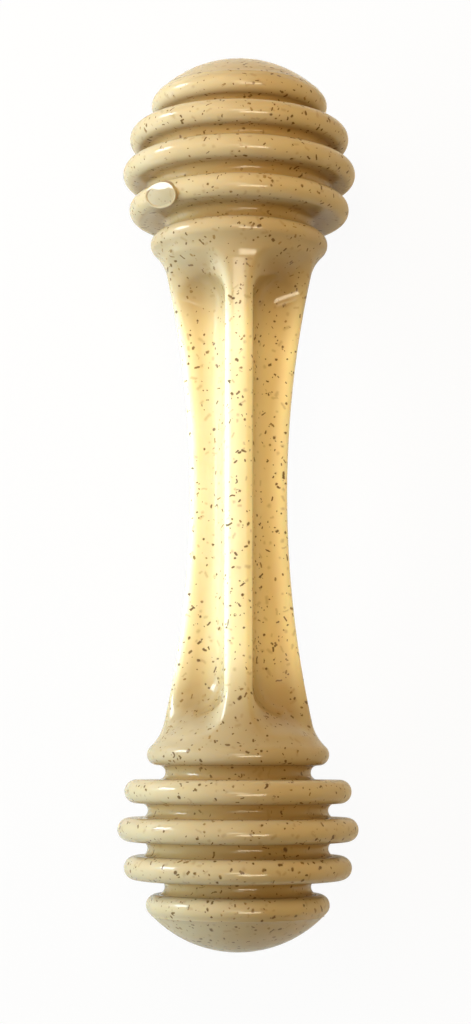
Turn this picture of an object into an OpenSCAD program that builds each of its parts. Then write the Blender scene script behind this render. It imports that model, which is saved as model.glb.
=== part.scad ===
// Nylon chew bone: a waisted shank with four ribs between two ball ends. Round grooves divide each
// ball into a collar, three rings and a domed cap, and the trimmed moulding gate stands on one ring.
// Millimetres, +Z up. The bone lies along X with one rib on top. The origin is on the floor under
// the bone's middle, and the floor touches the rims of the two middle rings.

/* [Overall] */
// Length of the bone from tip to tip
bone_length = 178; // [160:1:200]

/* [Ball ends] */
// Diameter of the sphere that the rings and the cap fill out
ball_d = 47; // [44:0.5:52]
// Diameter of the smaller sphere that the groove floors reach
core_d = 36; // [32:0.5:39]
// Thickness of a ring, whose rim is fully round
ring_t = 4.6; // [4:0.1:5.2]
// Width of a groove, whose floor is fully round
groove_w = 2.74; // [2:0.02:3.4]
// Rounding of the collar's rim and of the cap's rim
rim_r = 2.1; // [1.2:0.1:2.6]

/* [Shank] */
// Diameter of the shank at its waist
waist_d = 19.4; // [16:0.2:24]
// Height of the collar's rim above the shank's hollow outline
collar_h = 1.86; // [1:0.02:3]
// Radius of the flare from the shank to the collar
flare_r = 9; // [5:0.5:14]

/* [Flutes] */
// Thickness of a rib
rib_t = 5.5; // [4:0.1:8]
// Radius of the inner corner between two ribs and of the corners at a flute's end
flute_r = 5; // [2.5:0.1:6]
// Distance from a flute's end to the start of the flare
flute_gap = 0.3; // [0.1:0.1:6]

/* [Gate] */
// Length of the gate stub around its ring
gate_l = 8.2; // [6:0.1:11]
// Width of the gate stub across its ring
gate_w = 4.9; // [4.2:0.1:5.6]
// Height of the gate stub's flat face above the ring's rim
gate_h = 0.3; // [0.2:0.05:1]
// Turn of the gate stub from the top rib towards +Y, in degrees
gate_angle = 44; // [0:1:90]
// Lean of the gate stub's flat face towards the shank, in degrees
gate_lean = 28; // [0:1:40]

/* [Hidden] */
$fn = 128;

shank_colour = [0.90, 0.78, 0.56];
end_colour = [0.82, 0.73, 0.55];
gate_colour = [0.88, 0.81, 0.66];

// Depth by which arcs that touch are let into each other, so that they join in one clean edge
weld = 0.005;

// Places in a ball end, measured from the ball's centre along the bone, positive towards the tip
ball_r = ball_d / 2;
core_r = core_d / 2;
ball_x = bone_length / 2 - ball_r;
pitch = ring_t + groove_w;
outer_groove_s = 1.5 * pitch;
rim_face_s = outer_groove_s + groove_w / 2;
rim_s = rim_face_s + rim_r;
rim_centre_r = sqrt((ball_r - rim_r + weld) ^ 2 - rim_s ^ 2);

// Radius of the groove floor at a place along the ball
function neck_r(s) = sqrt(core_r ^ 2 - s ^ 2);

// Radius of the centre of a ring's round rim, which touches the ball's sphere from inside
function ring_centre_r(s) = sqrt((ball_r - ring_t / 2) ^ 2 - s ^ 2);

// The shank's outline: one hollow arc, then the flare arc that touches it and the collar's rim
rim_x = ball_x - rim_s;
waist_r = waist_d / 2;
shank_end_r = rim_centre_r + rim_r - collar_h;
hollow = shank_end_r - waist_r;
arc_r = (rim_x ^ 2 + hollow ^ 2) / (2 * hollow);
arc_centre_r = waist_r + arc_r;
to_rim = norm([rim_x, arc_centre_r - rim_centre_r]);
to_flare = arc_r - flare_r + weld;
rim_to_flare = rim_r + flare_r;
flare_swing = acos((to_rim ^ 2 + to_flare ^ 2 - rim_to_flare ^ 2) / (2 * to_rim * to_flare));
flare_turn = atan2(rim_x, arc_centre_r - rim_centre_r) - flare_swing;
flare_x = to_flare * sin(flare_turn);
flare_centre_r = arc_centre_r - to_flare * cos(flare_turn);
flare_start_x = arc_r * sin(flare_turn);
collar_x = rim_x + rim_r * (flare_x - rim_x) / rim_to_flare;

// A flute is a vee between two ribs with a round floor, and ends in an upright wall with round corners
rib_count = 4;
vee_half = 180 / rib_count;
vee_apex_r = rib_t / 2 / sin(vee_half);
flute_centre_r = vee_apex_r + flute_r / sin(vee_half);
flute_end_x = flare_start_x - flute_gap;
flute_x = flute_end_x - flute_r;
mouth_r = max(ball_r, 2 * flute_centre_r);

// Turns a profile of [radius, place along the bone] about the bone's axis
module turned() {
    translate([0, 0, ball_r])
        rotate([0, 90, 0])
            rotate_extrude()
                children();
}

// Sets a profile of a right ball end at the ball's centre and turns it
module turned_end() {
    turned()
        translate([0, ball_x])
            children();
}

// Copies a right ball end's member to the left end
module left_end() {
    mirror([1, 0, 0])
        children();
}

// A box of a profile, from the axis out to a radius and between two places
module band(radius, from, to) {
    low = min(from, to);
    high = max(from, to);
    polygon([[0, low], [radius, low], [radius, high], [0, high]]);
}

// Half of a groove's round neck, from the groove's middle into the member beside it
module half_neck(groove_s, member_s) {
    edge_r = neck_r(groove_s) + groove_w / 2;
    difference() {
        band(edge_r, groove_s, member_s);
        translate([edge_r, groove_s])
            circle(r = groove_w / 2);
    }
}

module ring_profile(ring_s) {
    centre_r = ring_centre_r(ring_s);
    band(centre_r, ring_s - ring_t / 2, ring_s + ring_t / 2);
    translate([centre_r, ring_s])
        circle(r = ring_t / 2);
    half_neck(ring_s - pitch / 2, ring_s);
    half_neck(ring_s + pitch / 2, ring_s);
}

module cap_profile() {
    touch = ball_r * [rim_centre_r, rim_s] / norm([rim_centre_r, rim_s]);
    intersection() {
        circle(r = ball_r);
        band(ball_r, touch.y, ball_d);
    }
    polygon([[0, rim_face_s], [rim_centre_r, rim_face_s], [rim_centre_r, rim_s], touch, [0, touch.y]]);
    translate([rim_centre_r, rim_s])
        circle(r = rim_r);
    half_neck(outer_groove_s, rim_s);
}

module collar_profile() {
    collar_s = collar_x - ball_x;
    band(rim_centre_r, collar_s, -rim_face_s);
    intersection() {
        translate([rim_centre_r, -rim_s])
            circle(r = rim_r);
        band(ball_r, collar_s, 0);
    }
    half_neck(-outer_groove_s, -rim_s);
}

module shank_profile() {
    arc_end_x = (flare_start_x + collar_x) / 2;
    difference() {
        band(arc_centre_r, -arc_end_x, arc_end_x);
        translate([arc_centre_r, 0])
            circle(r = arc_r);
    }
    for (side = [0, 1])
        mirror([0, side])
            difference() {
                band(flare_centre_r, flare_start_x, collar_x);
                translate([flare_centre_r, flare_x])
                    circle(r = flare_r);
            }
}

// A vee that opens outwards from a radius to the flutes' mouth
module vee(apex_r) {
    half_mouth = (mouth_r - apex_r) * tan(vee_half);
    polygon([[0, apex_r], [half_mouth, mouth_r], [-half_mouth, mouth_r]]);
}

// Section of a flute: the vee between two ribs, cut off where the round floor touches its sides
module flute_section() {
    difference() {
        vee(vee_apex_r);
        translate([-flute_r, 0])
            square([2 * flute_r, flute_centre_r - (flute_r - weld) * sin(vee_half)]);
    }
    translate([0, flute_centre_r])
        circle(r = flute_r);
}

// Draws a profile of [across, outwards] from the bone's middle along its right half
module along(length) {
    rotate([90, 0, 90])
        linear_extrude(length)
            children();
}

// One flute that opens towards +Z, with a round corner along each side of its end wall
module flute() {
    for (side = [0, 1])
        mirror([side, 0, 0]) {
            along(flute_x)
                flute_section();
            along(flute_end_x)
                vee(flute_centre_r);
            translate([flute_x, 0, flute_centre_r]) {
                rotate([0, -90, -90])
                    sphere(r = flute_r + 2 * weld);
                for (turn = [-vee_half, vee_half])
                    rotate([turn, 0, 0])
                        cylinder(r = flute_r + weld, h = mouth_r);
            }
        }
}

module shank() {
    color(shank_colour)
        difference() {
            turned()
                shank_profile();
            translate([0, 0, ball_r])
                for (k = [0 : rib_count - 1])
                    rotate([vee_half * (2 * k + 1), 0, 0])
                        flute();
        }
}

module right_collar() {
    color(end_colour)
        turned_end()
            collar_profile();
}

module right_inner_ring() {
    color(end_colour)
        turned_end()
            ring_profile(-pitch);
}

module right_middle_ring() {
    color(end_colour)
        turned_end()
            ring_profile(0);
}

module right_outer_ring() {
    color(end_colour)
        turned_end()
            ring_profile(pitch);
}

module right_cap() {
    color(end_colour)
        turned_end()
            cap_profile();
}

module left_collar() {
    left_end()
        right_collar();
}

module left_inner_ring() {
    left_end()
        right_inner_ring();
}

module left_middle_ring() {
    left_end()
        right_middle_ring();
}

module left_outer_ring() {
    left_end()
        right_outer_ring();
}

module left_cap() {
    left_end()
        right_cap();
}

// The gate's trimmed stub, with its underside shaped to the ring that it stands on
module gate_stub() {
    seat_h = ring_t / 4;
    color(gate_colour)
        difference() {
            translate([ball_x - pitch, 0, ball_r])
                rotate([-gate_angle, 0, 0])
                    translate([0, 0, ring_centre_r(-pitch)])
                        rotate([0, -gate_lean, 0])
                            translate([0, 0, seat_h])
                                linear_extrude(ring_t / 2 + gate_h - seat_h) {
                                    square([gate_w, gate_l - gate_w], center = true);
                                    for (side = [-1, 1])
                                        translate([0, side * (gate_l - gate_w) / 2])
                                            circle(d = gate_w);
                                }
            right_inner_ring();
        }
}

shank();
left_collar();
left_inner_ring();
left_middle_ring();
left_outer_ring();
left_cap();
right_collar();
right_inner_ring();
right_middle_ring();
right_outer_ring();
right_cap();
gate_stub();
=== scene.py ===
"""Nylon chew bone, dressed around its packed construction model.

The bone lies along X with one rib on top. The shank with its two collars is lofted from sections that
follow the ribs and flutes, and every ring and cap is an outline that is spun about the bone's axis.
All sizes are in metres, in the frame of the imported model, and all angles in radians.
"""

import logging
import math
from dataclasses import dataclass, field
from enum import Enum
from typing import Iterator, NamedTuple, Sequence, Union

import bmesh
import bpy
import numpy as np
from mathutils import Matrix, Vector


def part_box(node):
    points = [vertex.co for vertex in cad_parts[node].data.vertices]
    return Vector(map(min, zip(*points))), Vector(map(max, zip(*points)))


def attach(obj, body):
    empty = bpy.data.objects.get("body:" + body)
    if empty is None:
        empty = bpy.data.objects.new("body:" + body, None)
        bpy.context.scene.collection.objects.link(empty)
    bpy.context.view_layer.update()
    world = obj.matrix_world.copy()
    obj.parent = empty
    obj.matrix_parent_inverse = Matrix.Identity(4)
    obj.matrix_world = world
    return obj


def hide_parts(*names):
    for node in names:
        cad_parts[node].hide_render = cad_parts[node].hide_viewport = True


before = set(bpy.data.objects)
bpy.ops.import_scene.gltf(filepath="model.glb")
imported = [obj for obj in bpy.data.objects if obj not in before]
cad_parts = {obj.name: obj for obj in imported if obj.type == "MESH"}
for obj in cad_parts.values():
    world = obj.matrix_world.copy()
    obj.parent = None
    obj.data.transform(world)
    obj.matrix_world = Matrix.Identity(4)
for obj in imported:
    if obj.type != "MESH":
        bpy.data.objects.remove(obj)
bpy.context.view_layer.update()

MM = 0.001
BODY = "root"
WELD = 0.0005 * MM
CREASE = math.radians(32)
log = logging.getLogger("chew_bone")

Span = tuple[float, float]
Triple = tuple[float, float, float]
Colour = tuple[float, float, float, float]
Input = Union[float, Sequence[float], bpy.types.NodeSocket]


class End(Enum):
    """The two ends of the bone, valued by their direction along X."""

    LEFT = -1
    RIGHT = 1

    def node(self, member: str) -> str:
        """Names a member of this end as the construction model does."""
        return f"{self.name.lower()}_{member}"


class Ring(Enum):
    """The three rings of a ball, valued by their place in pitches from the ball's middle."""

    INNER = -1
    MIDDLE = 0
    OUTER = 1

    @property
    def member(self) -> str:
        """The ring's name without its end."""
        return f"{self.name.lower()}_ring"


class Slot(Enum):
    """The record's material slots."""

    SHANK = "nylon_shank"
    ENDS = "nylon_ends"
    GATE = "gate_nylon"


class Role(Enum):
    """What a lamp gives, valued by whether it lights the bone and whether the gloss mirrors it."""

    LIGHT = (True, False)
    IMAGE = (False, True)
    BOTH = (True, True)


class Spot(NamedTuple):
    """A place in an outline: distance along the bone and radius from its axis."""

    x: float
    radius: float


class Loop(NamedTuple):
    """A loop round the bone: its place, and the angle and radius of each of its spokes."""

    x: float
    turns: np.ndarray
    radii: np.ndarray


class NodeBench:
    """Lays out and links the shader nodes of one material or world."""

    def __init__(self, tree: bpy.types.NodeTree) -> None:
        """Starts with an empty tree."""
        tree.nodes.clear()
        self.tree = tree

    def add(self, kind: str, **settings: object) -> bpy.types.Node:
        """Adds a node.

        Args:
            kind: Blender's name of the node's type.
            settings: Values of the node's own properties.

        Returns:
            The new node.
        """
        node = self.tree.nodes.new(kind)
        for name, value in settings.items():
            setattr(node, name, value)
        return node

    def feed(self, socket: bpy.types.NodeSocket, value: Input) -> None:
        """Links a socket to another one, or sets its value.

        Args:
            socket: The socket to feed.
            value: The output that it is linked to, or its value.
        """
        if isinstance(value, bpy.types.NodeSocket):
            self.tree.links.new(value, socket)
        else:
            socket.default_value = value

    def math(self, operation: str, *values: Input) -> bpy.types.NodeSocket:
        """Adds a Math node on the given values.

        Args:
            operation: Blender's name of the operation.
            values: Its numbers.

        Returns:
            The node's output.
        """
        node = self.add("ShaderNodeMath", operation=operation)
        for socket, value in zip(node.inputs, values):
            self.feed(socket, value)
        return node.outputs[0]

    def vector(self, operation: str, *values: Input) -> bpy.types.NodeSocket:
        """Adds a Vector Math node on the given values.

        Args:
            operation: Blender's name of the operation.
            values: Its vectors, or for SCALE a vector and a factor.

        Returns:
            The Value output for a length or a product, and otherwise the Vector output.
        """
        node = self.add("ShaderNodeVectorMath", operation=operation)
        sockets = [node.inputs[0], node.inputs["Scale"]] if operation == "SCALE" else node.inputs
        for socket, value in zip(sockets, values):
            self.feed(socket, value)
        return node.outputs["Value" if operation in ("LENGTH", "DOT_PRODUCT") else "Vector"]

    def ramp(
        self, value: Input, start: Input, stop: Input, low: Input, high: Input
    ) -> bpy.types.NodeSocket:
        """Eases a value from low at start to high at stop.

        Args:
            value: The value to map.
            start: The value at which the result is low.
            stop: The value at which the result is high.
            low: The result at start.
            high: The result at stop.

        Returns:
            The mapped value.
        """
        node = self.add("ShaderNodeMapRange", interpolation_type="SMOOTHSTEP")
        for socket, given in zip(node.inputs, (value, start, stop, low, high)):
            self.feed(socket, given)
        return node.outputs["Result"]

    def blend(self, share: Input, first: Input, second: Input) -> bpy.types.NodeSocket:
        """Mixes two colours.

        Args:
            share: The share of the second colour.
            first: The first colour.
            second: The second colour.

        Returns:
            The mixed colour.
        """
        node = self.add("ShaderNodeMix", data_type="RGBA")
        self.feed(node.inputs["Factor"], share)
        self.feed(node.inputs["A"], first)
        self.feed(node.inputs["B"], second)
        return node.outputs["Result"]

    def tinted(self, share: Input, colour: bpy.types.NodeSocket, tint: Triple) -> bpy.types.NodeSocket:
        """Multiplies a colour by a tint, as far as the share says."""
        return self.blend(share, colour, self.vector("MULTIPLY", colour, tint))

    def noise(self, place: Input, grain: float, detail: float = 2.0) -> bpy.types.Node:
        """Adds a noise.

        Args:
            place: The place on the piece, in metres.
            grain: About the size of its features.
            detail: How many finer layers it has.

        Returns:
            The noise node.
        """
        node = self.add("ShaderNodeTexNoise")
        self.feed(node.inputs["Vector"], place)
        node.inputs["Scale"].default_value = 1.0 / grain
        node.inputs["Detail"].default_value = detail
        return node


@dataclass(frozen=True)
class Flecks:
    """One layer of slivers that lie along the skin, each with its own turn, length and width.

    Attributes:
        cell: Size of the cells, which hold one sliver at most.
        reach: Depth down to which slivers show through the skin.
        half_length: Half the length of the longest sliver, without its round ends.
        radius: About half the width of a sliver.
        softness: Share of a sliver's width over which it fades.
        share: Share of the cells that hold a sliver.
        shift: Offset of the layer's cells.
    """

    THINNEST = 0.5
    WIDTH_SPREAD = 0.7

    cell: float
    reach: float
    half_length: float
    radius: float
    softness: float
    share: float
    shift: Triple

    def mask(
        self, bench: NodeBench, place: bpy.types.NodeSocket, normal: bpy.types.NodeSocket
    ) -> bpy.types.NodeSocket:
        """Finds where slivers show in the skin.

        Args:
            bench: The bench of the material.
            place: The place on the piece, in metres.
            normal: The skin's direction there.

        Returns:
            A mask of 1 in a sliver and 0 outside.
        """
        moved = bench.vector("ADD", place, self.shift)
        cells = bench.add("ShaderNodeTexVoronoi", feature="F1")
        bench.feed(cells.inputs["Vector"], moved)
        cells.inputs["Scale"].default_value = 1.0 / self.cell
        chance = bench.add("ShaderNodeTexWhiteNoise", noise_dimensions="3D")
        bench.feed(chance.inputs["Vector"], cells.outputs["Color"])
        draws = bench.add("ShaderNodeSeparateColor")
        bench.feed(draws.inputs["Color"], chance.outputs["Color"])

        turned = bench.vector("MULTIPLY_ADD", cells.outputs["Color"], (2.0,) * 3, (-1.0,) * 3)
        axis = bench.vector("NORMALIZE", bench.vector("CROSS_PRODUCT", turned, normal))
        offset = bench.vector("SUBTRACT", moved, cells.outputs["Position"])
        depth = bench.vector("DOT_PRODUCT", offset, normal)
        level = bench.vector("SUBTRACT", offset, bench.vector("SCALE", normal, depth))
        length = bench.math("MULTIPLY", draws.outputs["Red"], draws.outputs["Red"])
        half = bench.math("MULTIPLY", length, self.half_length)
        along = bench.vector("DOT_PRODUCT", level, axis)
        held = bench.math("MAXIMUM", bench.math("MINIMUM", along, half), bench.math("MULTIPLY", half, -1.0))
        gap = bench.vector("LENGTH", bench.vector("SUBTRACT", level, bench.vector("SCALE", axis, held)))

        spread, thinnest = self.WIDTH_SPREAD * self.radius, self.THINNEST * self.radius
        width = bench.math("MULTIPLY_ADD", draws.outputs["Green"], spread, thinnest)
        core = bench.math("MULTIPLY", width, 1.0 - self.softness)
        inside = bench.ramp(gap, width, core, 0.0, 1.0)
        near = bench.math("LESS_THAN", bench.math("ABSOLUTE", depth), self.reach)
        kept = bench.math("LESS_THAN", draws.outputs["Blue"], self.share)
        return bench.math("MULTIPLY", inside, bench.math("MULTIPLY", near, kept))


@dataclass(frozen=True)
class NylonFinish:
    """Glossy translucent nylon with dark flecks, brighter in the thin shank than in the thick ends: partly
    its own tone and partly painted light for the glow through the thin nylon, with painted shade in the
    grooves and flutes.

    The colours are followed by the places where they change, the gloss and translucence, and the flecks.
    """

    name: str
    # Partly the shank's own yellower tone and partly painted light: a glow of light through the thin nylon
    # and the brighter light on the shank.
    thin: Colour = (0.96, 0.85, 0.55, 1.0)
    thick: Colour = (0.50, 0.385, 0.22, 1.0)
    fleck: Colour = (0.115, 0.055, 0.014, 1.0)
    pale_fleck: Colour = (0.29, 0.175, 0.062, 1.0)
    collar_tint: Triple = (0.88, 0.87, 0.86)
    # Painted shade, deepening the colour at the grooves' floors.
    groove_shade_tint: Triple = (0.82, 0.70, 0.50)
    # Painted shade, deepening the colour in the flutes with their depth.
    flute_shade_tint: Triple = (0.74, 0.65, 0.53)
    cloud_tint: Triple = (0.86, 0.76, 0.62)
    cloud_span: Span = (0.3, 0.7)
    cloud_share: float = 0.2
    cloud_grain: float = 9 * MM
    thin_to: float = 28 * MM
    thick_from: float = 46 * MM
    collar_to: float = 53 * MM
    rings_from: float = 54.5 * MM
    ball_middle: Triple = (65.5 * MM, 0.0, 23.5 * MM)
    groove_r: float = 18.8 * MM
    rings_r: float = 22.2 * MM
    waist_r: float = 9.7 * MM
    waist_curve: float = 2.385
    flute_from: float = 0.4 * MM
    flute_depth: float = 3.6 * MM
    flute_fade: float = 3 * MM
    gloss: float = 0.13
    haze: float = 0.06
    haze_grain: float = 6 * MM
    fleck_dulling: float = 0.12
    refraction: float = 1.53
    reflection: float = 0.4
    translucence: float = 0.3
    depth: float = 2.0 * MM
    depth_by_colour: Triple = (1.0, 0.55, 0.22)
    swell_grain: float = 5 * MM
    pit_grain: float = 0.8 * MM
    pit_share: float = 0.10
    relief: float = 0.03 * MM
    tear: float = 0.32 * MM
    tear_grain: float = 0.55 * MM
    fleck_strength: float = 0.92
    pale_span: Span = (0.45, 0.7)
    pale_grain: float = 2.5 * MM
    sunk_strength: float = 0.38
    layers: tuple[Flecks, ...] = (
        Flecks(
            cell=2.3 * MM, reach=0.60 * MM, half_length=0.55 * MM, radius=0.28 * MM,
            softness=0.62, share=0.62, shift=(0.011, 0.023, 0.031),
        ),
        Flecks(
            cell=2.0 * MM, reach=0.55 * MM, half_length=0.25 * MM, radius=0.37 * MM,
            softness=0.66, share=0.55, shift=(0.047, 0.005, 0.019),
        ),
        Flecks(
            cell=1.5 * MM, reach=0.40 * MM, half_length=0.15 * MM, radius=0.20 * MM,
            softness=0.80, share=0.50, shift=(0.037, 0.017, 0.053),
        ),
    )
    sunk_layer: Flecks = Flecks(
        cell=2.3 * MM, reach=0.8 * MM, half_length=0.6 * MM, radius=0.5 * MM,
        softness=1.0, share=0.8, shift=(0.029, 0.061, 0.043),
    )

    def tone(self, bench: NodeBench, place: bpy.types.NodeSocket) -> bpy.types.NodeSocket:
        """Colours the nylon without its flecks.

        Args:
            bench: The bench of the material.
            place: The place on the piece, in metres.

        Returns:
            The colour, a little cloudy and deeper in the collars; its paler shank, fading towards the ends,
            is partly painted glow, and its grooves and flutes have painted shade.
        """
        apart = bench.add("ShaderNodeSeparateXYZ")
        bench.feed(apart.inputs["Vector"], place)
        out = bench.math("ABSOLUTE", apart.outputs["X"])
        # Painted light, partly: the shank's paler colour stands in for its glow and fades to the ends'
        # colour between thin_to and thick_from.
        share = bench.ramp(out, self.thin_to, self.thick_from, 0.0, 1.0)
        colour = bench.blend(share, self.thin, self.thick)

        collar = bench.ramp(out, self.rings_from, self.collar_to, 0.0, share)
        colour = bench.tinted(collar, colour, self.collar_tint)
        # Painted shade: the colour deepens at the grooves' floors, near the ball's core.
        offset = bench.vector("SUBTRACT", bench.vector("ABSOLUTE", place), self.ball_middle)
        groove = bench.ramp(bench.vector("LENGTH", offset), self.rings_r, self.groove_r, 0.0, 1.0)
        colour = bench.tinted(groove, colour, self.groove_shade_tint)

        # Painted shade: the colour deepens in the flutes with their depth below the ribs, fading out at the
        # ends.
        from_axis = bench.vector("MULTIPLY_ADD", place, (0.0, 1.0, 1.0), (0.0, 0.0, -self.ball_middle[2]))
        squared = bench.math("MULTIPLY", out, out)
        over_rib = bench.math("MULTIPLY_ADD", squared, self.waist_curve, self.waist_r)
        sunk = bench.math("SUBTRACT", over_rib, bench.vector("LENGTH", from_axis))
        fluted = bench.ramp(out, self.thick_from, self.thick_from + self.flute_fade, 1.0, 0.0)
        flute = bench.ramp(sunk, self.flute_from, self.flute_depth, 0.0, fluted)
        colour = bench.tinted(flute, colour, self.flute_shade_tint)

        clouds = bench.noise(place, self.cloud_grain, 3.0).outputs["Fac"]
        clouds = bench.ramp(clouds, *self.cloud_span, 0.0, self.cloud_share)
        return bench.tinted(clouds, colour, self.cloud_tint)

    def material(self) -> bpy.types.Material:
        """Builds the finish.

        Returns:
            A material that reads Object coordinates.
        """
        made = bpy.data.materials.new(self.name)
        made.use_nodes = True
        bench = NodeBench(made.node_tree)
        place = bench.add("ShaderNodeTexCoord").outputs["Object"]
        normal = bench.add("ShaderNodeNewGeometry").outputs["Normal"]
        skin = bench.add("ShaderNodeBsdfPrincipled")
        skin.inputs["Subsurface Weight"].default_value = self.translucence
        skin.inputs["Subsurface Radius"].default_value = self.depth_by_colour
        skin.inputs["Subsurface Scale"].default_value = self.depth
        skin.inputs["IOR"].default_value = self.refraction
        skin.inputs["Specular IOR Level"].default_value = self.reflection

        ragged = bench.noise(place, self.tear_grain, 1.0).outputs["Color"]
        jitter = bench.vector("MULTIPLY_ADD", ragged, (self.tear,) * 3, (-self.tear / 2,) * 3)
        torn = bench.vector("ADD", place, jitter)

        colour = self.tone(bench, place)
        sunk = bench.math("MULTIPLY", self.sunk_layer.mask(bench, torn, normal), self.sunk_strength)
        colour = bench.blend(sunk, colour, self.pale_fleck)
        paler = bench.noise(place, self.pale_grain, 1.0).outputs["Fac"]
        dark = bench.blend(bench.ramp(paler, *self.pale_span, 0.0, 1.0), self.fleck, self.pale_fleck)
        spots = None
        for layer in self.layers:
            mask = layer.mask(bench, torn, normal)
            spots = mask if spots is None else bench.math("MAXIMUM", spots, mask)
        colour = bench.blend(bench.math("MULTIPLY", spots, self.fleck_strength), colour, dark)
        bench.feed(skin.inputs["Base Color"], colour)

        haze = bench.noise(place, self.haze_grain, 3.0).outputs["Fac"]
        rough = bench.math("MULTIPLY_ADD", haze, self.haze, self.gloss - self.haze / 2)
        rough = bench.math("MULTIPLY_ADD", spots, self.fleck_dulling, rough)
        bench.feed(skin.inputs["Roughness"], rough)

        swell = bench.noise(place, self.swell_grain, 1.0).outputs["Fac"]
        pits = bench.noise(place, self.pit_grain, 1.0).outputs["Fac"]
        height = bench.math("MULTIPLY_ADD", pits, self.pit_share, swell)
        bump = bench.add("ShaderNodeBump")
        bump.inputs["Distance"].default_value = self.relief
        bench.feed(bump.inputs["Height"], height)
        bench.feed(skin.inputs["Normal"], bump.outputs["Normal"])

        output = bench.add("ShaderNodeOutputMaterial")
        bench.feed(output.inputs["Surface"], skin.outputs["BSDF"])
        return made


def ease(share: np.ndarray) -> np.ndarray:
    """Eases shares between 0 and 1 in and out."""
    return share * share * (3 - 2 * share)


def finish_mesh(mesh: bmesh.types.BMesh, name: str, crease: float = CREASE) -> bpy.types.Object:
    """Closes a bmesh, turns its faces outwards and makes an object of it.

    Args:
        mesh: The shape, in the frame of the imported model. It is freed.
        name: The piece's name.
        crease: The turn from which an edge is shaded sharp.

    Returns:
        The new object, at the origin.
    """
    bmesh.ops.remove_doubles(mesh, verts=mesh.verts[:], dist=WELD)
    bmesh.ops.recalc_face_normals(mesh, faces=mesh.faces[:])
    for face in mesh.faces:
        face.smooth = True
    for edge in mesh.edges:
        edge.smooth = edge.calc_face_angle(0.0) < crease
    data = bpy.data.meshes.new(name)
    mesh.to_mesh(data)
    mesh.free()
    piece = bpy.data.objects.new(name, data)
    bpy.context.scene.collection.objects.link(piece)
    return piece


def hand_over(
    piece: bpy.types.Object, material: bpy.types.Material, slot: Slot, nodes: Sequence[str]
) -> None:
    """Dresses a piece and puts it in the place of its construction nodes.

    Args:
        piece: The finished piece.
        material: Its finish.
        slot: The record's slot that the finish belongs to. Not used.
        nodes: The nodes that the piece stands for.
    """
    piece.data.materials.append(material)
    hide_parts(*nodes)
    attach(piece, BODY)
    log.info("%s: %d faces for %s", piece.name, len(piece.data.polygons), ", ".join(nodes))


class OutlinePen:
    """Draws an outline beside the bone's axis, and spins it to a closed piece."""

    ARC_STEP = math.radians(3.0)
    SPIN_STEPS = 192

    def __init__(self, axis_z: float, start: Spot) -> None:
        """Sets the pen down.

        Args:
            axis_z: Height of the bone's axis.
            start: The first place of the outline.
        """
        self.axis_z = axis_z
        self.mesh = bmesh.new()
        self.tip = self.mesh.verts.new(self.place(start))

    def place(self, spot: Spot) -> Vector:
        """The point of an outline's place, above the axis."""
        return Vector((spot.x, 0.0, self.axis_z + spot.radius))

    def line_to(self, spot: Spot) -> None:
        """Draws a straight line.

        Args:
            spot: The place where it ends.
        """
        made = bmesh.ops.extrude_vert_indiv(self.mesh, verts=[self.tip])
        self.tip = made["verts"][0]
        self.tip.co = self.place(spot)

    def arc_about(self, centre: Spot, turn: float) -> None:
        """Draws an arc.

        Args:
            centre: The arc's centre.
            turn: Its angle, positive from the axis's direction towards greater radius.
        """
        steps = max(1, round(abs(turn) / self.ARC_STEP))
        made = bmesh.ops.spin(
            self.mesh,
            geom=[self.tip],
            cent=self.place(centre),
            axis=(0.0, -1.0, 0.0),
            angle=turn,
            steps=steps,
        )
        self.tip = next(item for item in made["geom_last"] if isinstance(item, bmesh.types.BMVert))

    def spin(self, name: str) -> bpy.types.Object:
        """Spins the outline about the bone's axis.

        Args:
            name: The piece's name.

        Returns:
            The finished piece.
        """
        outline = self.mesh.verts[:] + self.mesh.edges[:]
        bmesh.ops.spin(
            self.mesh,
            geom=outline,
            cent=(0.0, 0.0, self.axis_z),
            axis=(1.0, 0.0, 0.0),
            angle=math.tau,
            steps=self.SPIN_STEPS,
            use_merge=True,
        )
        return finish_mesh(self.mesh, name)


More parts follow.
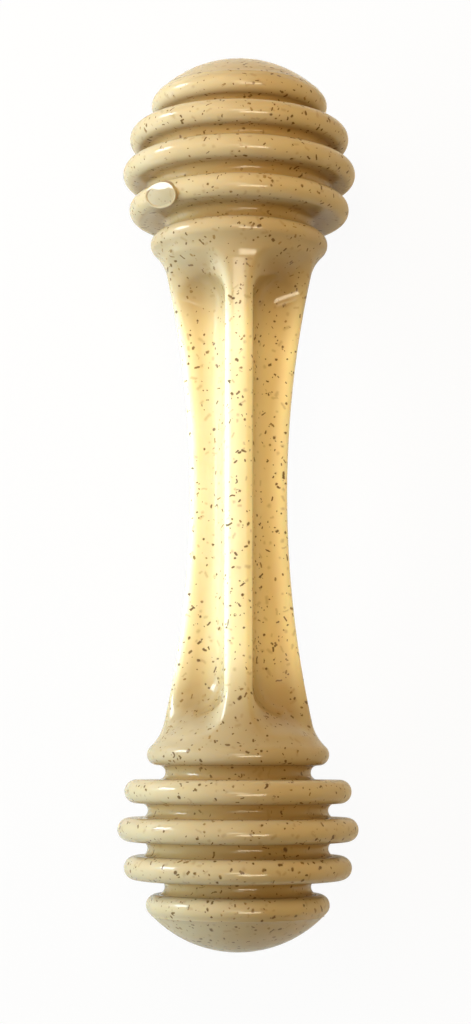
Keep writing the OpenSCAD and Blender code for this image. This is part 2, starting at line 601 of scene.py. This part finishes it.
@dataclass
class BallEnd:
    """One ball of the bone: three round rings and a domed cap, with round grooves between them.

    Attributes:
        end: The end of the bone that has this ball.
        core_r: Radius of the smaller sphere that the grooves' floors reach.
        ring_t: Thickness of a ring, whose rim is fully round.
        groove_w: Width of a groove, whose floor is fully round.
        rim_r: Rounding of the cap's and the collar's rim.
        seam_w, seam_h, seam_turn: Width, height and angle from the tip of the cap's raised seam.
        ball_r, ball_x: Radius of the ball, and distance of its middle from the bone's middle.
        axis_z: Height of the bone's axis.
    """

    end: End
    core_r: float = 18.0 * MM
    ring_t: float = 4.6 * MM
    groove_w: float = 2.74 * MM
    rim_r: float = 2.1 * MM
    seam_w: float = 0.36 * MM
    seam_h: float = 0.08 * MM
    seam_turn: float = math.radians(45.4)
    ball_r: float = field(init=False)
    ball_x: float = field(init=False)
    axis_z: float = field(init=False)

    def __post_init__(self) -> None:
        """Takes the ball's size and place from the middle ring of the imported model."""
        low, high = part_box(self.end.node(Ring.MIDDLE.member))
        self.ball_r = (high.z - low.z) / 2
        self.ball_x = abs(low.x + high.x) / 2
        self.axis_z = (high.z + low.z) / 2

    @property
    def pitch(self) -> float:
        """Distance from ring to ring."""
        return self.ring_t + self.groove_w

    @property
    def outer_groove(self) -> float:
        """Distance from the ball's middle to the middle of the groove before the cap or the collar."""
        return 1.5 * self.pitch

    @property
    def rim_s(self) -> float:
        """Distance from the ball's middle to the middle of the cap's or the collar's rim."""
        return self.outer_groove + self.groove_w / 2 + self.rim_r

    @property
    def rim_centre_r(self) -> float:
        """Radius at which the rounding of the cap's and the collar's rim is centred."""
        return math.sqrt((self.ball_r - self.rim_r) ** 2 - self.rim_s**2)

    def neck_r(self, place: float) -> float:
        """Radius of a groove's floor at a distance from the ball's middle."""
        return math.sqrt(self.core_r**2 - place**2)

    def spot(self, place: float, radius: float) -> Spot:
        """An outline's place at a distance from the ball's middle, positive towards the tip."""
        return Spot(self.end.value * (self.ball_x + place), radius)

    def draw_groove_to_rim(self, pen: OutlinePen, groove: float, face_r: float, side: int) -> None:
        """Draws the half groove before a member, from the groove's floor up to the member's face.

        Args:
            pen: The pen, on the groove's floor.
            groove: Distance of the groove's middle from the ball's middle.
            face_r: Radius at which the member's rim starts to round.
            side: 1 for a groove on the shank's side of its member.
        """
        edge_r = self.neck_r(groove) + self.groove_w / 2
        pen.arc_about(self.spot(groove, edge_r), side * self.end.value * math.pi / 2)
        pen.line_to(self.spot(groove + side * self.groove_w / 2, face_r))

    def ring(self, ring: Ring) -> bpy.types.Object:
        """Spins one ring.

        Args:
            ring: Which of the three rings.

        Returns:
            The ring's piece.
        """
        middle = ring.value * self.pitch
        before, after = middle - self.pitch / 2, middle + self.pitch / 2
        centre_r = math.sqrt((self.ball_r - self.ring_t / 2) ** 2 - middle**2)
        pen = OutlinePen(self.axis_z, self.spot(before, 0.0))
        pen.line_to(self.spot(before, self.neck_r(before)))
        self.draw_groove_to_rim(pen, before, centre_r, 1)
        pen.arc_about(self.spot(middle, centre_r), -self.end.value * math.pi)
        edge_r = self.neck_r(after) + self.groove_w / 2
        pen.line_to(self.spot(after - self.groove_w / 2, edge_r))
        pen.arc_about(self.spot(after, edge_r), self.end.value * math.pi / 2)
        pen.line_to(self.spot(after, 0.0))
        return pen.spin(self.end.node(ring.member))

    def cap(self) -> bpy.types.Object:
        """Spins the domed cap.

        Returns:
            The cap's piece.
        """
        groove = self.outer_groove
        touch = math.atan2(self.rim_centre_r, self.rim_s)
        pen = OutlinePen(self.axis_z, self.spot(groove, 0.0))
        pen.line_to(self.spot(groove, self.neck_r(groove)))
        self.draw_groove_to_rim(pen, groove, self.rim_centre_r, 1)
        pen.arc_about(self.spot(self.rim_s, self.rim_centre_r), -self.end.value * (math.pi - touch))
        self.draw_dome(pen, touch)
        return pen.spin(self.end.node("cap"))

    def draw_dome(self, pen: OutlinePen, touch: float) -> None:
        """Draws the dome to its tip, with the fine raised seam that the mould left round it.

        Args:
            pen: The pen, where the cap's rim touches the dome.
            touch: Angle of that place from the tip.
        """
        middle, half = self.spot(0.0, 0.0), self.seam_w / self.ball_r / 2
        crest_r, low = self.ball_r + self.seam_h, self.seam_turn - half
        pen.arc_about(middle, -self.end.value * (touch - self.seam_turn - half))
        pen.line_to(self.spot(crest_r * math.cos(self.seam_turn), crest_r * math.sin(self.seam_turn)))
        pen.line_to(self.spot(self.ball_r * math.cos(low), self.ball_r * math.sin(low)))
        pen.arc_about(middle, -self.end.value * low)

    def build(self, material: bpy.types.Material) -> None:
        """Builds and dresses the rings and the cap.

        Args:
            material: The finish of both.
        """
        for ring in Ring:
            hand_over(self.ring(ring), material, Slot.ENDS, [self.end.node(ring.member)])
        hand_over(self.cap(), material, Slot.ENDS, [self.end.node("cap")])


@dataclass
class Shank:
    """The waisted shank with four ribs and four flutes, and the collar at each of its ends.

    Attributes:
        ball: The ball at the right end.
        waist_d: Diameter of the shank at its waist.
        collar_h: Height of the collar's rim above the shank's hollow outline.
        flare_r: Radius of the flare from the shank to the collar.
        rib_t: Thickness of a rib.
        flute_r: Radius of a flute's floor, and of the foot of its end wall.
        wall_slope: Slope of the wall in which a flute ends.
        rib_round, shoulder_round: Rounding of the ribs' edges, and of the top of an end wall.
        shoulder_from, shoulder_over: Where that rounding starts to grow, and over how much, as shares
            of the angle from the middle of a rib to the middle of a flute.
        ribs, spokes: Number of ribs, and of steps round half a rib.
        straight_step, end_step, arc_step: Steps along a flute, at its end and round the collar.
        halvings: Steps of the search for the skin.
        rim, arc, flare: Centres of the collar's rim, of the hollow outline's arc and of the flare.
        flare_start_x, collar_x: Where the flare starts, and where it meets the collar's rim.
        arc_r: Radius of the hollow outline's arc.
        vee_half, flute_centre_r: Half the angle from rib to rib, and radius of a floor's centre.
        flute_end, flute_x: Top of an end wall, and where the wall's foot starts.
    """

    ball: BallEnd
    waist_d: float = 19.4 * MM
    collar_h: float = 1.86 * MM
    flare_r: float = 9.0 * MM
    rib_t: float = 5.5 * MM
    flute_r: float = 5.0 * MM
    wall_slope: float = math.radians(70)
    rib_round: float = 1.3 * MM
    shoulder_round: float = 5.0 * MM
    ribs: int = 4
    spokes: int = 40
    shoulder_from: float = 0.05
    shoulder_over: float = 0.6
    straight_step: float = 1.5 * MM
    end_step: float = 0.3 * MM
    arc_step: float = math.radians(6.0)
    halvings: int = 36
    rim: Spot = field(init=False)
    arc: Spot = field(init=False)
    arc_r: float = field(init=False)
    flare: Spot = field(init=False)
    flare_start_x: float = field(init=False)
    collar_x: float = field(init=False)
    vee_half: float = field(init=False)
    flute_centre_r: float = field(init=False)
    flute_end: Spot = field(init=False)
    flute_x: float = field(init=False)

    def __post_init__(self) -> None:
        """Works out the outline's arcs and the flutes' ends."""
        ball = self.ball
        self.rim = Spot(ball.ball_x - ball.rim_s, ball.rim_centre_r)
        waist_r = self.waist_d / 2
        hollow = self.rim.radius + ball.rim_r - self.collar_h - waist_r
        self.arc_r = (self.rim.x**2 + hollow**2) / (2 * hollow)
        self.arc = Spot(0.0, waist_r + self.arc_r)
        to_rim = math.hypot(self.rim.x, self.arc.radius - self.rim.radius)
        to_flare = self.arc_r - self.flare_r
        rim_to_flare = ball.rim_r + self.flare_r
        swing = math.acos((to_rim**2 + to_flare**2 - rim_to_flare**2) / (2 * to_rim * to_flare))
        turn = math.atan2(self.rim.x, self.arc.radius - self.rim.radius) - swing
        self.flare = Spot(to_flare * math.sin(turn), self.arc.radius - to_flare * math.cos(turn))
        self.flare_start_x = self.arc_r * math.sin(turn)
        self.collar_x = self.rim.x + ball.rim_r * (self.flare.x - self.rim.x) / rim_to_flare
        self.vee_half = math.pi / self.ribs
        self.flute_centre_r = (self.rib_t / 2 + self.flute_r) / math.sin(self.vee_half)
        self.flute_end = Spot(self.flare_start_x, self.outline_r(self.flare_start_x))
        wall_h = self.flute_end.radius - self.flute_centre_r + self.flute_r
        reach = (self.flute_r + wall_h * math.cos(self.wall_slope)) / math.sin(self.wall_slope)
        self.flute_x = self.flute_end.x - reach

    def outline_r(self, x: float) -> float:
        """Radius of the shank's outline over a rib.

        Args:
            x: Place along the bone, on its right half between the collars.

        Returns:
            The radius there.
        """
        if x < self.flare_start_x:
            return self.arc.radius - math.sqrt(self.arc_r**2 - x**2)
        return self.flare.radius - math.sqrt(self.flare_r**2 - (x - self.flare.x) ** 2)

    def skin_gap(self, x: float, radii: np.ndarray, turns: np.ndarray) -> np.ndarray:
        """Distance of points from the shank's skin, with the ribs' edges rounded.

        Args:
            x: Place of the points along the bone, on its right half.
            radii: Their radii.
            turns: Their angles from the nearest rib's middle.

        Returns:
            The distances, negative inside the shank.
        """
        if x < self.flare_start_x:
            outside = self.arc_r - np.hypot(x, self.arc.radius - radii)
        else:
            outside = self.flare_r - np.hypot(x - self.flare.x, self.flare.radius - radii)
        across = radii * np.sin(self.vee_half - turns)
        rise = radii * np.cos(self.vee_half - turns) - self.flute_centre_r
        up_wall = across * math.sin(self.vee_half) + rise * math.cos(self.vee_half)
        off_wall = across * math.cos(self.vee_half) - rise * math.sin(self.vee_half)
        gap = np.where(up_wall > 0, off_wall, np.hypot(across, rise))
        end_gap = self.flute_r + (x - self.flute_end.x) * math.sin(self.wall_slope)
        end_gap = end_gap - (radii - self.flute_end.radius) * math.cos(self.wall_slope)
        in_flute = self.flute_r - np.hypot(np.maximum(gap, 0.0), np.maximum(end_gap, 0.0))
        rounding = self.edge_round(x, turns)
        corner = np.hypot(np.maximum(rounding + outside, 0.0), np.maximum(rounding + in_flute, 0.0))
        return np.minimum(-rounding, np.maximum(outside, in_flute)) + corner

    def edge_round(self, x: float, turns: np.ndarray) -> np.ndarray:
        """Radius of the edges of the flutes.

        Args:
            x: Place along the bone, on its right half.
            turns: Angles from the nearest rib's middle.

        Returns:
            The radii, which grow from the ribs' edges to the soft shoulder at the middle of a flute's end.
        """
        rise = (x - self.flute_end.x + self.flute_r) / self.flute_r
        fall = (self.collar_x - x) / (self.collar_x - self.flute_end.x)
        along = np.clip(min(rise, fall), 0.0, 1.0)
        around = np.clip((turns / self.vee_half - self.shoulder_from) / self.shoulder_over, 0.0, 1.0)
        return self.rib_round + (self.shoulder_round - self.rib_round) * ease(along) * ease(around)

    def skin_r(self, x: float, turns: np.ndarray) -> np.ndarray:
        """Finds the skin along spokes.

        Args:
            x: Place along the bone, on its right half.
            turns: The spokes' angles from the nearest rib's middle.

        Returns:
            The radius of the skin on each spoke.
        """
        low = np.zeros_like(turns)
        high = np.full_like(turns, self.outline_r(x))
        for _ in range(self.halvings):
            middle = (low + high) / 2
            inside = self.skin_gap(x, middle, turns) < 0
            low = np.where(inside, middle, low)
            high = np.where(inside, high, middle)
        return high

    def loop_at(self, x: float) -> Loop:
        """Spreads spokes evenly along the skin of a rib's half, and repeats them round all ribs.

        Args:
            x: Place along the bone, on its right half.

        Returns:
            The whole loop.
        """
        fine = np.linspace(0.0, self.vee_half, 3 * self.spokes + 1)
        radii = self.skin_r(x, fine)
        steps = np.hypot(np.diff(radii * np.cos(fine)), np.diff(radii * np.sin(fine)))
        run = np.concatenate(([0.0], np.cumsum(steps)))
        turns = np.interp(np.linspace(0.0, run[-1], self.spokes + 1), run, fine)
        radii = self.skin_r(x, turns)
        rib = np.concatenate((turns, 2 * self.vee_half - turns[-2:0:-1]))
        starts = 2 * self.vee_half * np.arange(self.ribs)
        around = (starts[:, None] + rib).ravel()
        return Loop(x, around, np.tile(np.concatenate((radii, radii[-2:0:-1])), self.ribs))

    def fluted_places(self) -> np.ndarray:
        """Spaces the loops from the waist to the collar, closer together where a flute ends.

        Returns:
            The places of the loops.
        """
        straight = np.arange(0.0, self.flute_x - self.straight_step / 2, self.straight_step)
        ending = np.arange(self.collar_x, self.flute_x, -self.end_step)[::-1]
        return np.concatenate((straight, ending))

    def collar_spots(self) -> Iterator[Spot]:
        """Follows the collar's outline from the flare over its rim to the middle of the groove behind it.

        Returns:
            The places of the outline, one after another.
        """
        ball = self.ball
        floor_r = ball.neck_r(ball.outer_groove)
        groove = Spot(ball.ball_x - ball.outer_groove, floor_r + ball.groove_w / 2)
        lean = math.atan2(self.flare.radius - self.rim.radius, self.flare.x - self.rim.x)
        steps = math.ceil(lean / self.arc_step)
        for step in range(1, steps + 1):
            angle = lean * (1 - step / steps)
            yield Spot(
                self.rim.x + ball.rim_r * math.cos(angle), self.rim.radius + ball.rim_r * math.sin(angle)
            )
        steps = math.ceil(math.pi / 2 / self.arc_step)
        for step in range(steps + 1):
            angle = math.pi + math.pi / 2 * step / steps
            yield Spot(
                groove.x + ball.groove_w / 2 * math.cos(angle),
                groove.radius + ball.groove_w / 2 * math.sin(angle),
            )

    def loops(self) -> list[Loop]:
        """Lists every loop of the loft.

        Returns:
            The loops, from the left groove to the right one.
        """
        right = [self.loop_at(x) for x in self.fluted_places()]
        spread = right[-1].turns
        right += [Loop(spot.x, spread, np.full_like(spread, spot.radius)) for spot in self.collar_spots()]
        return [loop._replace(x=-loop.x) for loop in right[:0:-1]] + right

    def loft(self, name: str) -> bpy.types.Object:
        """Extrudes a circle along the loops and moves each loop's vertices onto the skin.

        Args:
            name: The piece's name.

        Returns:
            The shank with its collars.
        """
        mesh = bmesh.new()
        spoke = mesh.verts.layers.int.new("spoke")
        loops = self.loops()
        start = bmesh.ops.create_circle(
            mesh, cap_ends=True, segments=len(loops[0].turns), radius=self.waist_d
        )
        for index, vert in enumerate(start["verts"]):
            vert[spoke] = index
        verts, edges = start["verts"], mesh.edges[:]
        for number, loop in enumerate(loops):
            if number:
                made = bmesh.ops.extrude_edge_only(mesh, edges=edges)["geom"]
                verts = [item for item in made if isinstance(item, bmesh.types.BMVert)]
                edges = [item for item in made if isinstance(item, bmesh.types.BMEdge) and item.is_boundary]
            across = loop.radii * np.sin(loop.turns)
            rise = self.ball.axis_z + loop.radii * np.cos(loop.turns)
            for vert in verts:
                vert.co = (loop.x, across[vert[spoke]], rise[vert[spoke]])
        bmesh.ops.contextual_create(mesh, geom=edges)
        return finish_mesh(mesh, name)

    def build(self, material: bpy.types.Material) -> None:
        """Builds and dresses the shank with its collars."""
        nodes = ["shank"] + [end.node("collar") for end in End]
        hand_over(self.loft("shank_and_collars"), material, Slot.SHANK, nodes)


@dataclass
class GateStub:
    """The trimmed moulding gate on the inner ring of the right ball, whose cut face leans to the shank.

    Attributes:
        ball: The right ball.
        length, width: Size of the stub around and across its ring.
        height: Height of its face above the ring's rim.
        turn, lean: Turn from the top rib towards +Y, and lean of the face towards the shank.
        lip_w, lip_h: Width and height of the lip round the face.
        dome_h, dome_steps: Height of the face's dome, and its number of steps.
        segments: Number of edges round the stub.
        trim_h, trim_turn: Height of the level facet above the ring's rim, and the turn it faces.
        crease: The turn from which an edge is shaded sharp.
    """

    ball: BallEnd
    length: float = 8.2 * MM
    width: float = 4.9 * MM
    height: float = 0.3 * MM
    turn: float = math.radians(44)
    lean: float = math.radians(28)
    lip_w: float = 0.3 * MM
    lip_h: float = 0.17 * MM
    dome_h: float = 0.26 * MM
    dome_steps: int = 6
    segments: int = 96
    trim_h: float = 0.58 * MM
    trim_turn: float = math.radians(40)
    crease: float = math.radians(15)

    def build(self, material: bpy.types.Material) -> None:
        """Builds and dresses the stub: an oval boss whose slightly domed face has a thin raised lip.

        Args:
            material: The stub's finish.
        """
        ball = self.ball
        mesh = bmesh.new()
        made = bmesh.ops.create_circle(mesh, cap_ends=True, segments=self.segments, radius=0.5)
        bmesh.ops.scale(mesh, vec=(self.width, self.length, 1.0), verts=made["verts"])
        seat = ball.ring_t / 4
        raised = bmesh.ops.extrude_face_region(mesh, geom=mesh.faces[:])["geom"]
        top = next(item for item in raised if isinstance(item, bmesh.types.BMFace))
        bmesh.ops.translate(mesh, vec=(0.0, 0.0, ball.ring_t / 2 + self.height - seat), verts=top.verts)
        bmesh.ops.inset_region(mesh, faces=[top], thickness=self.lip_w, depth=0.0)
        bmesh.ops.inset_region(mesh, faces=[top], thickness=self.lip_h, depth=-self.lip_h)
        for number in range(self.dome_steps, 0, -1):
            raised = bmesh.ops.extrude_discrete_faces(mesh, faces=[top])["faces"]
            top = raised[0]
            bmesh.ops.scale(mesh, vec=(1 - 1 / number,) * 2 + (1.0,), verts=top.verts)
            rise = self.dome_h * (2 * number - 1) / self.dome_steps**2
            bmesh.ops.translate(mesh, vec=(0.0, 0.0, rise), verts=top.verts)
        centre_r = math.sqrt((ball.ball_r - ball.ring_t / 2) ** 2 - ball.pitch**2)
        bmesh.ops.transform(
            mesh,
            matrix=Matrix.Translation((ball.ball_x - ball.pitch, 0.0, ball.axis_z))
            @ Matrix.Rotation(-self.turn, 4, "X")
            @ Matrix.Translation((0.0, 0.0, centre_r))
            @ Matrix.Rotation(-self.lean, 4, "Y")
            @ Matrix.Translation((0.0, 0.0, seat)),
            verts=mesh.verts[:],
        )
        self.trim(mesh, centre_r + ball.ring_t / 2 + self.trim_h)
        hand_over(finish_mesh(mesh, "gate_stub_face", self.crease), material, Slot.GATE, ["gate_stub"])

    def trim(self, mesh: bmesh.types.BMesh, radius: float) -> None:
        """Cuts a level facet into the stub's high side.

        Args:
            mesh: The stub, in its place.
            radius: Distance of the cut from the bone's axis.
        """
        ball = self.ball
        bmesh.ops.remove_doubles(mesh, verts=mesh.verts[:], dist=WELD)
        out = Vector((0.0, math.sin(self.turn), math.cos(self.turn)))
        made = bmesh.ops.bisect_plane(
            mesh,
            geom=mesh.verts[:] + mesh.edges[:] + mesh.faces[:],
            plane_co=Vector((ball.ball_x - ball.pitch, 0.0, ball.axis_z)) + radius * out,
            plane_no=(0.0, math.sin(self.trim_turn), math.cos(self.trim_turn)),
            clear_outer=True,
        )
        cut = [item for item in made["geom_cut"] if isinstance(item, bmesh.types.BMEdge)]
        bmesh.ops.contextual_create(mesh, geom=cut)


@dataclass(frozen=True)
class Lamp:
    """A soft rectangular lamp, which lights the bone, is mirrored in its gloss, or both."""

    name: str
    role: Role
    radiance: float
    colour: Triple
    place: Triple
    facing: Triple
    width: float
    height: float

    def hang(self) -> None:
        """Hangs the lamp in its place and turns it the way it faces."""
        data = bpy.data.lights.new(self.name, "AREA")
        data.shape = "RECTANGLE"
        data.size, data.size_y = self.width, self.height
        data.energy = self.radiance * math.pi * self.width * self.height
        data.color = self.colour
        lamp = bpy.data.objects.new(self.name, data)
        bpy.context.scene.collection.objects.link(lamp)
        lamp.location = self.place
        lamp.rotation_mode = "QUATERNION"
        lamp.rotation_quaternion = (-Vector(self.facing)).to_track_quat("Z", "Y")
        lamp.visible_camera = False
        lamp.visible_diffuse, lamp.visible_glossy = self.role.value


@dataclass(frozen=True)
class Studio:
    """The pale floor, the lamps and the camera, which stands where the photograph was taken."""

    camera_place: Triple = (-53.5 * MM, 0.6 * MM, 427.8 * MM)
    pitch: float = 0.124
    roll: float = -0.002
    lens_mm: float = 72.03
    clip_start: float = 10 * MM
    floor_half: float = 20.0
    floor_colour: Colour = (0.74, 0.72, 0.69, 1.0)
    floor_glow: float = 0.94
    backdrop_colour: Colour = (1.0, 1.0, 1.0, 1.0)
    gloss_share: float = 0.1
    room_colour: Colour = (1.0, 0.77, 0.45, 1.0)
    room_strength: float = 0.05
    lamps: tuple[Lamp, ...] = (
        Lamp(
            "window", Role.IMAGE, radiance=15.0, colour=(0.80, 0.91, 1.0),
            place=(0.43, 1.05, 0.2), facing=(-0.4, -1.0, -0.15), width=0.3, height=0.38,
        ),
        Lamp(
            "narrow_pane", Role.IMAGE, radiance=7.0, colour=(0.80, 0.91, 1.0),
            place=(0.15, 1.1, 0.17), facing=(-0.1, -1.0, -0.15), width=0.09, height=0.22,
        ),
        Lamp(
            "ceiling_lamp", Role.IMAGE, radiance=11.0, colour=(1.0, 0.88, 0.66),
            place=(-0.55, -0.32, 1.14), facing=(0.0, 0.0, -1.0), width=0.34, height=0.62,
        ),
        Lamp(
            "skylight", Role.IMAGE, radiance=6.0, colour=(1.0, 0.93, 0.75),
            place=(-0.14, 0.0, 1.2), facing=(0.0, 0.0, -1.0), width=0.22, height=0.37,
        ),
        Lamp(
            "table_bounce", Role.BOTH, radiance=1.2, colour=(0.80, 0.92, 1.0),
            place=(0.02, 0.28, 0.002), facing=(0.0, 0.0, 1.0), width=0.06, height=0.42,
        ),
        Lamp(
            "daylight", Role.LIGHT, radiance=16.0, colour=(0.57, 0.79, 1.0),
            place=(0.0, 0.9, 0.25), facing=(0.0, -0.9, -0.25), width=0.9, height=0.4,
        ),
        Lamp(
            "ceiling", Role.LIGHT, radiance=5.8, colour=(1.0, 0.80, 0.42),
            place=(-0.14, 0.0, 1.2), facing=(0.0, 0.0, -1.0), width=0.44, height=0.74,
        ),
        Lamp(
            "near_wall", Role.LIGHT, radiance=6.3, colour=(1.0, 0.81, 0.53),
            place=(0.13, 0.06, 0.24), facing=(-0.3, -0.25, -1.0), width=0.12, height=0.2,
        ),
        Lamp(
            "far_wall", Role.LIGHT, radiance=3.4, colour=(0.97, 0.76, 0.42),
            place=(0.0, -0.9, 0.15), facing=(0.0, 0.9, -0.15), width=0.9, height=0.3,
        ),
    )

    def seen_ray(self, bench: NodeBench) -> bpy.types.NodeSocket:
        """Tells the rays that show the stage: from the camera, off a gloss or through a clear piece.

        Args:
            bench: The bench of the floor's material or of the room.

        Returns:
            1 for a ray that shows the stage in full, and the gloss's share for one off a gloss.
        """
        path = bench.add("ShaderNodeLightPath")
        gloss = bench.math("MULTIPLY", path.outputs["Is Glossy Ray"], self.gloss_share)
        seen = bench.math("MAXIMUM", path.outputs["Is Camera Ray"], gloss)
        return bench.math("MAXIMUM", seen, path.outputs["Is Transmission Ray"])

    def lay_floor(self) -> None:
        """Lays the floor, which keeps the bone's soft shadow."""
        mesh = bmesh.new()
        bmesh.ops.create_grid(mesh, x_segments=1, y_segments=1, size=self.floor_half)
        floor = finish_mesh(mesh, "floor")
        made = bpy.data.materials.new("pale_floor")
        made.use_nodes = True
        bench = NodeBench(made.node_tree)
        plain = bench.add("ShaderNodeBsdfDiffuse")
        plain.inputs["Color"].default_value = self.floor_colour
        glow = bench.add("ShaderNodeEmission")
        mixed = bench.add("ShaderNodeMixShader")
        bench.feed(mixed.inputs["Fac"], bench.math("MULTIPLY", self.seen_ray(bench), self.floor_glow))
        bench.feed(mixed.inputs[1], plain.outputs["BSDF"])
        bench.feed(mixed.inputs[2], glow.outputs["Emission"])
        output = bench.add("ShaderNodeOutputMaterial")
        bench.feed(output.inputs["Surface"], mixed.outputs["Shader"])
        floor.data.materials.append(made)

    def fill_room(self) -> None:
        """Fills the room with a warm, weak light behind a pale backdrop."""
        world = bpy.data.worlds.new("room")
        bpy.context.scene.world = world
        world.use_nodes = True
        bench = NodeBench(world.node_tree)
        room = bench.add("ShaderNodeBackground")
        room.inputs["Color"].default_value = self.room_colour
        room.inputs["Strength"].default_value = self.room_strength
        pale = bench.add("ShaderNodeBackground")
        pale.inputs["Color"].default_value = self.backdrop_colour
        mixed = bench.add("ShaderNodeMixShader")
        bench.feed(mixed.inputs["Fac"], self.seen_ray(bench))
        bench.feed(mixed.inputs[1], room.outputs["Background"])
        bench.feed(mixed.inputs[2], pale.outputs["Background"])
        output = bench.add("ShaderNodeOutputWorld")
        bench.feed(output.inputs["Surface"], mixed.outputs["Shader"])

    def set_camera(self) -> None:
        """Sets the camera above the bone, pitched towards its right end, which is up in the picture."""
        ahead = Vector((math.sin(self.pitch), 0.0, -math.cos(self.pitch)))
        up = Vector((math.cos(self.pitch), 0.0, math.sin(self.pitch)))
        right = ahead.cross(up)
        level, plumb = math.cos(self.roll), math.sin(self.roll)
        axes = (right * level - up * plumb, right * plumb + up * level, -ahead)
        data = bpy.data.cameras.new("camera")
        data.lens = self.lens_mm
        data.clip_start = self.clip_start
        camera = bpy.data.objects.new("camera", data)
        bpy.context.scene.collection.objects.link(camera)
        camera.matrix_world = Matrix.Translation(self.camera_place) @ Matrix(axes).transposed().to_4x4()
        bpy.context.scene.camera = camera

    def build(self) -> None:
        """Builds the stage."""
        bpy.context.scene.view_settings.view_transform = "Standard"
        self.set_camera()
        self.lay_floor()
        self.fill_room()
        for lamp in self.lamps:
            lamp.hang()


def main() -> None:
    """Builds the stage and the bone in order."""
    logging.basicConfig(level=logging.INFO, format="%(name)s: %(message)s")
    Studio().build()
    ends = {end: BallEnd(end) for end in End}
    Shank(ends[End.RIGHT]).build(NylonFinish("shank_nylon").material())
    ends_nylon = NylonFinish("ends_nylon").material()
    for ball in ends.values():
        ball.build(ends_nylon)
    # Painted shade: the stub's darker base colour dims its face, which the daylight lights more fully than
    # the ring round it.
    gate_nylon = NylonFinish(
        "gate_nylon", thick=(0.40, 0.315, 0.19, 1.0), gloss=0.16, layers=NylonFinish.layers[2:]
    )
    GateStub(ends[End.RIGHT]).build(gate_nylon.material())


if __name__ == "__main__":
    main()
